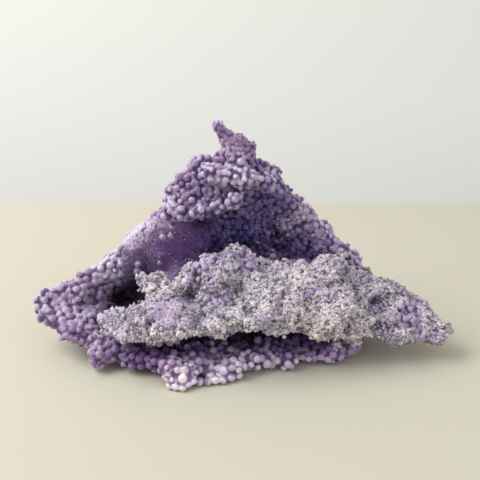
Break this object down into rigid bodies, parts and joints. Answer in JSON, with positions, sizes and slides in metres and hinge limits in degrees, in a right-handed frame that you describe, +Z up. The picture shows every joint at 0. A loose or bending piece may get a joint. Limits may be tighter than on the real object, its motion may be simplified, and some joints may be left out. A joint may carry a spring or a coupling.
{
  "type": "grape agate cluster",
  "caption": "Free-standing cluster of small purple agate balls: a pointed hollow back wall with a pale sugary crust leaning out over its lip.",
  "frame": {"origin": "on the ground under the middle of the stone's box", "axes": "+X along the cluster from the wing to the crust's tip, +Y from the lip to the back wall, +Z up"},
  "size_m": [0.1452, 0.0678, 0.0788],
  "materials": {
    "grape_agate": "waxy translucent purple balls with a satin lustre",
    "druse": "sparkling sugary grey-white crust"
  },
  "bodies": {
    "root": {"grape_agate": "grape_agate"}
  },
  "joints": []
}
